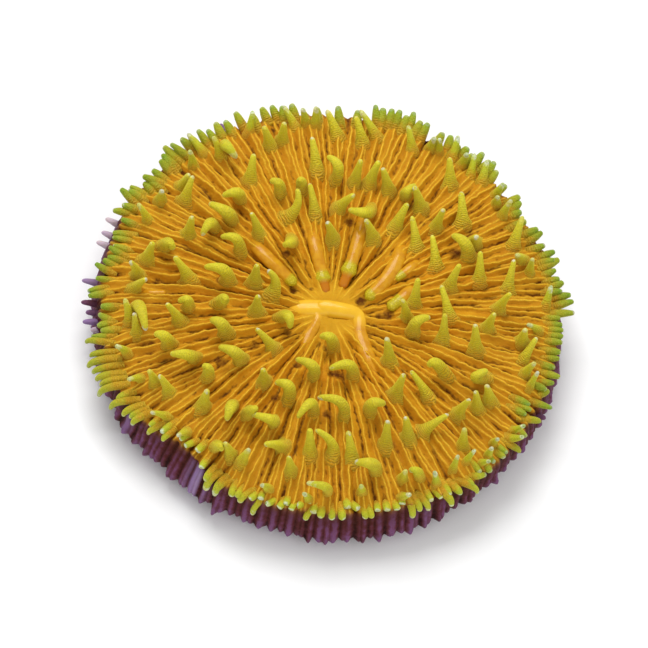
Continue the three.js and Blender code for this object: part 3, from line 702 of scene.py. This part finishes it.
def make_object(name, vertices, faces, values):
    """A smooth-shaded mesh in metres, with a number or a place per vertex for each named value."""
    mesh = bpy.data.meshes.new(name)
    mesh.from_pydata((vertices * MM).tolist(), [], faces)
    for key, numbers in values.items():
        numbers = np.asarray(numbers, np.float32)
        kind, field = ("FLOAT", "value") if numbers.ndim == 1 else ("FLOAT_VECTOR", "vector")
        mesh.attributes.new(key, kind, "POINT").data.foreach_set(field, numbers.ravel())
    mesh.polygons.foreach_set("use_smooth", np.ones(len(mesh.polygons), bool))
    mesh.update()
    return add_object(name, mesh)


# Horns: tentacles, fringe, spines, lobes and the fold at the mouth

def bezier(first, bend, last, share):
    share = share[:, None]
    return (1 - share) ** 2 * first + 2 * share * (1 - share) * bend + share**2 * last


def smooth_line(corners, count):
    """Evenly spaced points on a smooth curve through the corners."""
    places = np.linspace(0, len(corners) - 1, count)
    padded = np.concatenate([[2 * corners[0] - corners[1]], corners, [2 * corners[-1] - corners[-2]]])
    points = []
    for place in places:
        step = min(int(place), len(corners) - 2)
        t = place - step
        a, b, c, d = padded[step:step + 4]
        bend = 2 * b + (c - a) * t + (2 * a - 5 * b + 4 * c - d) * t**2 + (3 * b - a - 3 * c + d) * t**3
        points.append(0.5 * bend)
    return np.array(points)


def tip_shares(count, start):
    """Shares of the length from start to just short of the tip, closer together towards the tip."""
    even = np.linspace(0, LAST_RING, count)
    return start + (1 - start) * (1 - (1 - even) ** TIP_CROWDING)


def rounded(share, radius, length):
    """Narrows a horn to a round tip over its last stretch, as long as the tip is thick."""
    start = 1 - TIP_ROUNDING * radius[-1] / length
    turn = np.clip((share - start) / (1 - start), 0, 1)
    return radius * np.sqrt(1 - turn**2)


def horn(centre, radius, sides, side, widen=None):
    """Rings of points round a centre line. widen stretches each ring along the side direction."""
    tangent = np.gradient(centre, axis=0)
    tangent /= norm(tangent, axis=1)[:, None]
    turns = FULL_TURN * np.arange(sides) / sides
    points = []
    for number, (place, along) in enumerate(zip(centre, tangent)):
        side = side - along * (side @ along)
        side /= norm(side)
        other = np.cross(along, side)
        wide = 1.0 if widen is None else widen[number]
        ring = wide * np.cos(turns)[:, None] * side + np.sin(turns)[:, None] * other
        points.append(place + radius[number] * ring)
    return np.array(points)


class Horns:
    """Collects many closed horns into one mesh."""

    def __init__(self, *names):
        self.vertices = []
        self.faces = []
        self.values = {name: [] for name in names}
        self.count = 0

    def add(self, points, tip, **values):
        """values hold one number for the horn, or one for each of its rings."""
        rings, sides = points.shape[:2]
        self.vertices.append(np.concatenate([points.reshape(-1, 3), points[0].mean(0)[None], tip[None]]))
        index = self.count + np.arange(rings * sides).reshape(rings, sides)
        following = np.roll(index, -1, axis=1)
        quads = np.stack([index[:-1], following[:-1], following[1:], index[1:]], -1).reshape(-1, 4)
        bottom = self.count + rings * sides
        low_fan = np.stack([following[0], index[0], np.full(sides, bottom)], -1)
        tip_fan = np.stack([index[-1], following[-1], np.full(sides, bottom + 1)], -1)
        self.faces += quads.tolist() + low_fan.tolist() + tip_fan.tolist()
        for name, parts in self.values.items():
            per_ring = np.broadcast_to(values[name], rings)
            parts.append(np.concatenate([np.repeat(per_ring, sides), per_ring[[0, -1]]]))
        self.count = bottom + 2

    def finish(self, name):
        values = {key: np.concatenate(parts) for key, parts in self.values.items()}
        return make_object(name, np.concatenate(self.vertices), self.faces, values)


def seen_point(degrees, radius, level):
    """The real place of a point at this level that is seen at an angle and radius on the rim's plane."""
    angle = math.radians(degrees)
    x = radius * math.cos(angle)
    y = radius * math.sin(angle) - SIGHT_SHIFT * (level - RIM_HEIGHT)
    return np.array([x, y, level])


def bend_limit(centre, share):
    """The thickest that a horn can be at each place without creasing on the inside of its bend."""
    first = np.gradient(centre, axis=0)
    second = np.gradient(first, axis=0)
    turning = norm(np.cross(first, second), axis=1)
    limit = BEND_SHARE * norm(first, axis=1) ** 3 / np.maximum(turning, STRAIGHT)
    return np.where(share > BEND_START, limit, np.inf)


def make_tentacles():
    horns = Horns("along", "height", "kind", "tint")
    for place, (foot, bend, tip) in zip(TENTACLES, tentacle_paths):
        edge = rim_edge(math.degrees(math.atan2(foot[1], foot[0])))
        foot = foot - outward(foot) * max(math.hypot(foot[0], foot[1]) - edge + FOOT_INSET, 0)
        hooked = is_hooked(place)
        length = norm(tip - foot)
        if hooked:
            length = norm(bend - foot) * HOOK_ARC + norm(tip - bend) * HOOK_ARC
        below = -ROOT_DEPTH / length
        share = tip_shares(TENTACLE_RINGS, below)
        centre = bezier(foot, bend, tip, np.maximum(share, 0))
        down = foot - bend
        down[:2] *= ROOT_LEAN
        down /= norm(down)
        centre += (np.maximum(-share, 0) * length)[:, None] * down
        rim = smoothstep(math.hypot(foot[0], foot[1]), *RIM_TENTACLE_RADII)
        farness = max(foot[1] / RIM_RADIUS, 0)
        size = rng.uniform(*SIZE_SPREAD) * min(LARGEST_SIZE, LEAST_SIZE + SIZE_PER_MM * length)
        size *= 1 - RIM_THINNING * rim * (1 - farness)
        shape = (HOOK_SHARES, HOOK_GIRTH) if hooked else (GIRTH_SHARES, UPRIGHT_GIRTH)
        radius = np.minimum(size * np.interp(share, *shape), bend_limit(centre, share))
        reach = len(BEND_SMOOTHING) // 2
        radius = np.convolve(np.pad(radius, reach, mode="edge"), BEND_SMOOTHING, mode="valid")
        radius = rounded(share, radius, length)
        widen = 1 + FOOT_STRETCH * (1 - rim) * np.exp(-np.maximum(share, 0) / FOOT_FADE)
        points = horn(centre, radius, TENTACLE_SIDES, outward(foot), widen)
        horns.add(points, tip, along=share, height=share * length, kind=rim, tint=rng.uniform(0, 1))
    return horns.finish("tentacles")


def rim_edge(degrees):
    """The rim's radius at an angle."""
    return RIM_EDGE + wave_sum(np.array([math.radians(degrees)]), RIM_WAVES)[0]


def hanging_point(degrees, radius, level):
    """As seen_point, but on the near side what is seen past the rim's edge hangs in front of the skirt."""
    nearness = max(-math.sin(math.radians(degrees)), 0)
    past = max(radius - rim_edge(degrees) - OVERHANG, 0)
    return seen_point(degrees, radius, level - past * nearness / SIGHT_SHIFT)


def full_fringe():
    """The listed fringe, with one more tentacle in each wide gap."""
    rows = sorted(FRINGE, key=lambda row: row[2])
    between = []
    for row, after in zip(rows, rows[1:] + rows[:1]):
        gap = (after[2] - row[2]) % 360
        if gap > FRINGE_GAP:
            degrees = row[2] + gap * rng.uniform(*GAP_PLACE)
            tip_radius = min(row[1], after[1]) - rng.uniform(*GAP_SHORTENING)
            between.append([degrees, tip_radius, degrees, tip_radius - GAP_LENGTH])
    return rows + between


def make_fringe():
    horns = Horns("along", "height", "kind", "tint")
    for tip_degrees, tip_radius, foot_degrees, foot_radius in full_fringe():
        angle = math.radians(foot_degrees)
        farness = (1 + math.sin(angle)) / 2
        nearness = max(-math.sin(angle), 0)
        wide = max(2 * farness - 1, 0)
        tip_radius += FRINGE_FAR_STRETCH * wide
        stub = smoothstep(nearness, *STUBBY_SPAN)
        foot_radius += stub * max(tip_radius - STUB_LENGTH - foot_radius, 0)
        if nearness > INSET_FROM:
            foot_radius = min(foot_radius, rim_edge(foot_degrees) - FRINGE_INSET)
        foot_level = RIM_HEIGHT - FRINGE_SINK + max(crest_level(foot_radius) - RIM_HEIGHT, 0)
        slant = FRINGE_RISE_NEAR + farness * (FRINGE_RISE_FAR - FRINGE_RISE_NEAR)
        slant += rng.uniform(-SLANT_SPREAD, SLANT_SPREAD)
        foot = seen_point(foot_degrees, foot_radius, foot_level)
        tip = seen_point(tip_degrees, tip_radius, foot_level)
        rise = norm(tip - foot) * math.sin(slant)
        rise /= math.cos(slant) + SIGHT_SHIFT * math.sin(slant) * (2 * farness - 1)
        tip = hanging_point(tip_degrees, tip_radius, foot_level + max(rise, 0))
        ahead = (tip - foot) / norm(tip - foot)
        root = foot - FRINGE_ROOT * (ahead + outward(foot)) / 2 - (ROOT_DROP + STUB_ROOT_DROP * stub) * UP
        bend = (foot + tip) / 2 + np.array([*rng.uniform(-FRINGE_ARCH, FRINGE_ARCH, 2), FRINGE_ARCH])
        if foot[2] - tip[2] > HANG_DROP:
            bend = tip + HANG_BEND * outward(tip)
            bend[2] = foot[2] + HANG_BEND
        length = norm(bend - root) + norm(tip - bend)
        share = tip_shares(FRINGE_RINGS, 0.0)
        girth = (1 - wide - stub) * np.array(FRINGE_GIRTH_SIDE)
        girth += wide * np.array(FRINGE_GIRTH_FAR) + stub * np.array(FRINGE_GIRTH_NEAR)
        green = max(abs(math.cos(angle)) - GREEN_FROM, 0) / (1 - GREEN_FROM) + FAR_GREEN * wide
        girth = rng.uniform(*GIRTH_SPREAD) * np.interp(share, FRINGE_SHARES, girth)
        radius = rounded(share, girth, length)
        points = horn(bezier(root, bend, tip, share), radius, FRINGE_SIDES, outward(foot))
        tint = rng.uniform(0, 1)
        horns.add(points, tip, along=share, height=share * length, kind=1 + min(green, 1), tint=tint)
    return horns.finish("fringe")


def make_spines():
    horns = Horns("groove", "edge", "skirt", "radius")
    groove, painted_shade_fade = SPINE_PAINTED_SHADE
    for degrees, radius_seen, paleness in SIDE_SPINES:
        tip = seen_point(degrees, radius_seen, SIDE_SPINE_LEVEL)
        root = outward(tip) * SPINE_ROOT_RADIUS + SPINE_ROOT_LEVEL * UP
        bend = (root + tip) / 2 + SPINE_ARCH * UP
        share = tip_shares(FRINGE_RINGS, 0.0)
        radius = rounded(share, np.interp(share, SPINE_SHARES, SPINE_GIRTH), norm(tip - root))
        points = horn(bezier(root, bend, tip, share), radius, FRINGE_SIDES, UP)
        depth = RIM_RADIUS + RIM_HEIGHT - SIDE_SPINE_LEVEL
        # Painted shade, darkest at the root
        shades = groove - painted_shade_fade * share
        horns.add(points, tip, groove=shades, edge=0.0, skirt=1 + paleness, radius=depth)
    return horns.finish("costal_spines")


def add_lobe(horns, place, shape, grainy, neck=0.0):
    """A septum's thick end: a tube along the crest, from its buried outer end to its inner end.

    grainy holds the shares between which it is grainy, and neck is how far its inner end drops.
    """
    inner_degrees, inner_seen, outer_degrees, outer_seen, size = place
    share = tip_shares(LOBE_RINGS, 0.0)
    degrees = outer_degrees + share * (inner_degrees - outer_degrees)
    seen = outer_seen + share * (inner_seen - outer_seen)
    level = crest_level(seen) - LOBE_SINK - LOBE_ROOT_DROP * np.exp(-share / LOBE_ROOT_FADE)
    level -= neck * smoothstep(share, NECK_FROM, 1)
    centre = np.array([seen_point(*numbers) for numbers in zip(degrees, seen, level)])
    length = norm(centre[-1] - centre[0])
    radius = rounded(share, size * np.interp(share, *shape), length)
    points = horn(centre, radius, LOBE_SIDES, UP, np.full(LOBE_RINGS, LOBE_FLATNESS))
    tip = 2 * centre[-1] - centre[-2]
    start, end = grainy
    fade_in, fade_out = GRAIN_FADE
    ended = smoothstep(share, end, end + fade_out)
    grain = smoothstep(share, start, start + fade_in) - ended
    red = ended if neck else 0.0
    horns.add(points, tip, grain=grain, red=red, gold=0.0)


def make_lobes():
    horns = Horns("grain", "red", "gold")
    for *place, grainy_from in LOBES:
        add_lobe(horns, place, (LOBE_SHARES, LOBE_GIRTH), (grainy_from, PAST_THE_END))
    for place in CUPPED_LOBES:
        add_lobe(horns, place, (CUP_SHARES, CUP_GIRTH), CUP_GRAIN, CUP_NECK)
    add_lobe(horns, SMOOTH_RIDGE, (LOBE_SHARES, LOBE_GIRTH), NO_GRAIN)
    for corners in (MOUTH_FOLD, SIDE_FOLD):
        fold = smooth_line(corners, FOLD_RINGS)
        centre = fold[:, :3]
        centre[:, 1] -= SIGHT_SHIFT * (centre[:, 2] - RIM_HEIGHT)
        points = horn(centre, fold[:, 3], LOBE_SIDES, UP, np.full(FOLD_RINGS, FOLD_FLATNESS))
        horns.add(points, centre[-1], grain=0.0, red=0.0, gold=smoothstep(centre[:, 1], *GOLD_SPAN))
    return horns.finish("lobes")


# Materials

def colour(red, green, blue):
    """An sRGB colour, 0 to 255, as the linear values that shaders take."""
    shares = [channel / 255 for channel in (red, green, blue)]
    linear = [s / 12.92 if s <= 0.04045 else ((s + 0.055) / 1.055) ** 2.4 for s in shares]
    return (*linear, 1.0)


class Shader:
    """Short calls for building a node material."""

    def __init__(self, name):
        self.material = bpy.data.materials.new(name)
        self.material.use_nodes = True
        self.tree = self.material.node_tree
        self.surface = self.tree.nodes["Principled BSDF"]
        self.place = self.tree.nodes.new("ShaderNodeTexCoord").outputs["Object"]

    def fill(self, node, inputs):
        """Sets or links inputs of a node, by their names or numbers."""
        for key, value in inputs.items():
            if isinstance(value, bpy.types.NodeSocket):
                self.tree.links.new(value, node.inputs[key])
            else:
                node.inputs[key].default_value = value

    def node(self, kind, output, inputs, **settings):
        """Adds a node and gives one of its outputs."""
        node = self.tree.nodes.new(kind)
        for name, setting in settings.items():
            setattr(node, name, setting)
        self.fill(node, inputs)
        return node.outputs[output]

    def value(self, name, output="Fac"):
        return self.node("ShaderNodeAttribute", output, {}, attribute_name=name)

    def noise(self, size_mm, detail=3.0, place=None):
        inputs = {"Scale": 1 / (size_mm * MM), "Detail": detail, "Vector": place or self.place}
        return self.node("ShaderNodeTexNoise", "Fac", inputs)

    def cells(self, size_mm):
        inputs = {"Scale": 1 / (size_mm * MM), "Vector": self.place}
        return self.node("ShaderNodeTexVoronoi", "Distance", inputs)

    def ramp(self, factor, stops):
        """A run of colours. Each stop holds its place, then red, green and blue."""
        node = self.tree.nodes.new("ShaderNodeValToRGB")
        elements = node.color_ramp.elements
        while len(elements) < len(stops):
            elements.new(0.5)
        for element, (place, *shade) in zip(elements, stops):
            element.position = place
            element.color = colour(*shade)
        self.fill(node, {"Fac": factor})
        return node.outputs["Color"]

    def mix(self, factor, first, second):
        return self.node("ShaderNodeMix", 2, {"Factor": factor, 6: first, 7: second}, data_type="RGBA")

    def calc(self, kind, first, second=0.0):
        return self.node("ShaderNodeMath", 0, {0: first, 1: second}, operation=kind)

    def span(self, factor, low, high, to_low=0.0, to_high=1.0):
        """A factor between low and high, moved to the span between to_low and to_high."""
        ends = {"From Min": low, "From Max": high, "To Min": to_low, "To Max": to_high}
        return self.node("ShaderNodeMapRange", "Result", {"Value": factor, **ends})

    def bump(self, height, distance_mm, strength):
        inputs = {"Strength": strength, "Distance": distance_mm * MM, "Height": height}
        self.fill(self.surface, {"Normal": self.node("ShaderNodeBump", "Normal", inputs)})

    def finish(self, shade, roughness, specular, scatter):
        """Sets the surface's colour, gloss and the light that passes under its skin."""
        self.fill(self.surface, {
            "Base Color": shade,
            "Roughness": roughness,
            "Specular IOR Level": specular,
            "Subsurface Weight": scatter,
            "Subsurface Radius": (1.0, 0.6, 0.1),
            "Subsurface Scale": MM,
        })
        return self.material


def body_material():
    skin = Shader("coral_tissue")
    groove = skin.value("groove")
    radius = skin.value("radius")
    streak = skin.value("streak", "Vector")
    mottle = skin.noise(1.1, 4.0)
    fine = skin.noise(0.45, 3.0)
    patches = skin.noise(6.0, 2.0)
    grain = skin.noise(0.8, 4.0, streak)
    # Painted shade: where uneven is high, in the grooves, the slit and the hollows, the tissue turns dark
    # brown
    uneven = skin.calc("ADD", groove, skin.span(mottle, 0.3, 0.7, -0.12, 0.12))
    orange = skin.mix(skin.span(patches, 0.35, 0.65), colour(208, 150, 30), colour(196, 132, 22))
    orange = skin.mix(skin.span(grain, 0.35, 0.7, 0.0, 0.5), orange, colour(168, 104, 12))
    orange = skin.mix(skin.span(radius, 26, 46, 0.0, 0.3), orange, colour(156, 106, 18))
    orange = skin.mix(skin.span(radius, 16, 6), orange, colour(206, 152, 32))
    # More painted shade in the grooves towards the rim
    uneven = skin.calc("ADD", uneven, skin.span(radius, 46, 54, 0.0, 0.2))
    tissue = skin.mix(skin.span(uneven, 0.68, 1.03, 0.0, 0.95), orange, colour(78, 34, 3))
    # Painted highlight along the septa crests, in bright yellow
    line = skin.calc("MULTIPLY", skin.value("edge"), skin.span(fine, 0.3, 0.6, 0.35, 0.9))
    line = skin.calc("MULTIPLY", line, skin.span(grain, 0.3, 0.6, 0.5, 1.0))
    tissue = skin.mix(line, tissue, colour(246, 206, 62))
    streaks = skin.noise(1.6, 3.0)
    # Painted highlight and shade on the skirt: lighter on the rib tops, near black in the gaps between
    # them
    rib = skin.calc("ADD", groove, skin.span(streaks, 0.3, 0.7, -0.25, 0.25))
    purple = skin.ramp(rib, [
        (0.0, 118, 72, 108),
        (0.25, 102, 52, 70),
        (0.55, 86, 38, 40),
        (1.0, 42, 12, 9),
    ])
    # Painted shade under the overhanging rim: the top of the skirt turns dark brown-red
    purple = skin.mix(skin.span(radius, 60, 55, 0.0, 0.65), purple, colour(72, 32, 16))
    skirt = skin.value("skirt")
    # Pale lilac on the rib tops, low on the skirt and in the listed patches: partly the ribs' own lilac,
    # partly painted highlight
    low = skin.span(radius, 60, 64, 0.0, 0.25)
    lilac_and_highlight = skin.calc("MAXIMUM", skin.span(skirt, 1.1, 1.9, 0.0, 0.75), low)
    lilac_and_highlight = skin.calc("MULTIPLY", lilac_and_highlight, skin.span(groove, 0.75, 0.15))
    pale = skin.mix(skin.span(skirt, 1.9, 2.6), colour(150, 124, 172), colour(222, 204, 214))
    purple = skin.mix(lilac_and_highlight, purple, pale)
    shade = skin.mix(skin.span(skirt, 0, 1), tissue, purple)
    skin.bump(skin.calc("ADD", skin.calc("ADD", fine, mottle), grain), 0.3, 0.7)
    return skin.finish(shade, 0.55, 0.06, 0.12)


def tentacle_material():
    skin = Shader("coral_tentacle")
    along = skin.value("along")
    height = skin.value("height")
    # 0 for a tentacle on the disc, 1 at the rim and for the near fringe, up to 2 for the other fringe
    kind = skin.value("kind")
    grains = skin.cells(0.4)
    mottle = skin.noise(1.3, 3.0)
    uneven = skin.calc("ADD", along, skin.span(mottle, 0.3, 0.7, -0.1, 0.1))
    upright = skin.ramp(uneven, [
        (0.02, 216, 156, 26),
        (0.2, 214, 178, 30),
        (0.42, 208, 192, 32),
        (0.9, 216, 208, 46),
    ])
    near_fringe = skin.ramp(uneven, [
        (0.25, 204, 148, 24),
        (0.5, 186, 184, 30),
        (0.8, 176, 192, 44),
        (0.88, 208, 220, 170),
        (0.93, 214, 224, 208),
        (0.98, 140, 172, 66),
    ])
    far_fringe = skin.ramp(uneven, [
        (0.25, 186, 140, 24),
        (0.5, 148, 152, 30),
        (0.85, 112, 148, 30),
    ])
    fringe = skin.mix(skin.span(kind, 1.0, 2.0), near_fringe, far_fringe)
    shade = skin.mix(skin.span(kind, 0.2, 1.0), upright, fringe)
    shade = skin.mix(skin.span(skin.value("tint"), 0, 1, 0.0, 0.3), shade, colour(196, 178, 40))
    wobble = skin.calc("ADD", height, skin.span(mottle, 0.3, 0.7, -0.2, 0.2))
    rings = skin.calc("SINE", skin.calc("MULTIPLY", wobble, FULL_TURN / RING_SPACING))
    rings = skin.calc("MULTIPLY", rings, skin.span(along, 0.05, 0.65, 1.0, 0.1))
    on_disc = skin.span(kind, 1, 0.3, 0.25, 1.0)
    ringed = skin.calc("MULTIPLY", skin.span(rings, 0.2, -0.8, 0.0, 0.5), on_disc)
    shade = skin.mix(ringed, shade, colour(120, 92, 12))
    shade = skin.mix(skin.span(grains, 0.1, 0.45, 0.3, 0.0), shade, colour(222, 208, 80))
    often = skin.span(skin.value("tint"), 0, 1, 0.2, 0.8)
    pale = skin.calc("MULTIPLY", skin.span(uneven, 0.95, 1.02), often)
    shade = skin.mix(pale, shade, colour(206, 206, 198))
    relief = skin.calc("SUBTRACT", skin.calc("MULTIPLY", rings, 0.7), skin.span(grains, 0.1, 0.6))
    skin.bump(relief, 0.2, 0.8)
    sheen = {"Sheen Weight": 0.6, "Sheen Roughness": 0.4, "Sheen Tint": colour(250, 236, 90)}
    skin.fill(skin.surface, sheen)
    return skin.finish(shade, 0.5, 0.2, 0.15)


def lobe_material():
    skin = Shader("coral_wet_fold")
    grain = skin.value("grain")
    grains = skin.cells(0.42)
    streaks = skin.noise(1.6, 3.0)
    shade = skin.mix(skin.span(streaks, 0.35, 0.7), colour(192, 130, 22), colour(208, 154, 32))
    gold = skin.mix(streaks, colour(232, 186, 46), colour(218, 164, 36))
    shade = skin.mix(skin.value("gold"), shade, gold)
    shade = skin.mix(skin.value("red"), shade, colour(184, 112, 18))
    knob = skin.mix(skin.span(grains, 0.1, 0.5), colour(208, 192, 50), colour(178, 160, 26))
    shade = skin.mix(grain, shade, knob)
    skin.bump(skin.calc("MULTIPLY", grains, skin.span(grain, 0, 1, -0.03, -0.3)), 0.25, 0.6)
    return skin.finish(shade, 0.16, 0.2, 0.0)


# Studio

def make_floor():
    side = FLOOR_HALF_SIDE / MM
    corners = np.array([(-side, -side, 0), (side, -side, 0), (side, side, 0), (-side, side, 0)])
    floor = make_object("floor", corners, [(0, 1, 2, 3)], {})
    skin = Shader("pale_floor")
    skin.fill(skin.surface, {"Base Color": FLOOR_COLOUR, "Roughness": FLOOR_ROUGHNESS})
    floor.data.materials.append(skin.material)


def add_light(name, place, side, watts):
    lamp = bpy.data.lights.new(name, "AREA")
    lamp.size = side
    lamp.energy = watts
    light = add_object(name, lamp)
    light.location = Vector(place)
    light.rotation_mode = "QUATERNION"
    light.rotation_quaternion = (Vector(LIGHT_AIM) - Vector(place)).to_track_quat("-Z", "Y")


def make_studio():
    make_floor()
    for name, numbers in LIGHTS.items():
        add_light(name, *numbers)
    world = bpy.data.worlds.new("studio")
    world.use_nodes = True
    background = world.node_tree.nodes["Background"]
    background.inputs["Color"].default_value = (1, 1, 1, 1)
    background.inputs["Strength"].default_value = SKY_STRENGTH
    bpy.context.scene.world = world
    bpy.context.scene.view_settings.view_transform = "Standard"


def make_camera():
    """The photograph's view: the rim's plane seen from above, with the frame turned by the roll."""
    ahead = Vector((0, math.cos(SIGHT_ELEVATION), -math.sin(SIGHT_ELEVATION)))
    level_up = Vector((0, math.sin(SIGHT_ELEVATION), math.cos(SIGHT_ELEVATION)))
    level_right = Vector((1, 0, 0))
    right = math.cos(SIGHT_ROLL) * level_right + math.sin(SIGHT_ROLL) * level_up
    up = math.cos(SIGHT_ROLL) * level_up - math.sin(SIGHT_ROLL) * level_right
    distance = LENS / SENSOR * IMAGE_SIDE / PIXELS_PER_MM
    aside = (IMAGE_SIDE / 2 - RIM_CENTRE_PIXEL[0]) / PIXELS_PER_MM
    above = (RIM_CENTRE_PIXEL[1] - IMAGE_SIDE / 2) / PIXELS_PER_MM
    aim = Vector((0, 0, RIM_HEIGHT)) + aside * right + above * up
    place = (aim - distance * ahead) * MM
    data = bpy.data.cameras.new("camera")
    data.lens = LENS
    data.sensor_width = SENSOR
    data.clip_start = CLIP_START
    camera = add_object("camera", data)
    turn = Matrix((right, up, -ahead)).transposed()
    camera.matrix_world = Matrix.Translation(place) @ turn.to_4x4()
    bpy.context.scene.camera = camera


def dress(piece, material):
    piece.data.materials.append(material)
    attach(piece, "root")
    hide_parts("coral")


make_camera()
make_studio()
tissue = body_material()
horn_skin = tentacle_material()
dress(make_body(), tissue)
dress(make_spines(), tissue)
dress(make_tentacles(), horn_skin)
dress(make_fringe(), horn_skin)
dress(make_lobes(), lobe_material())
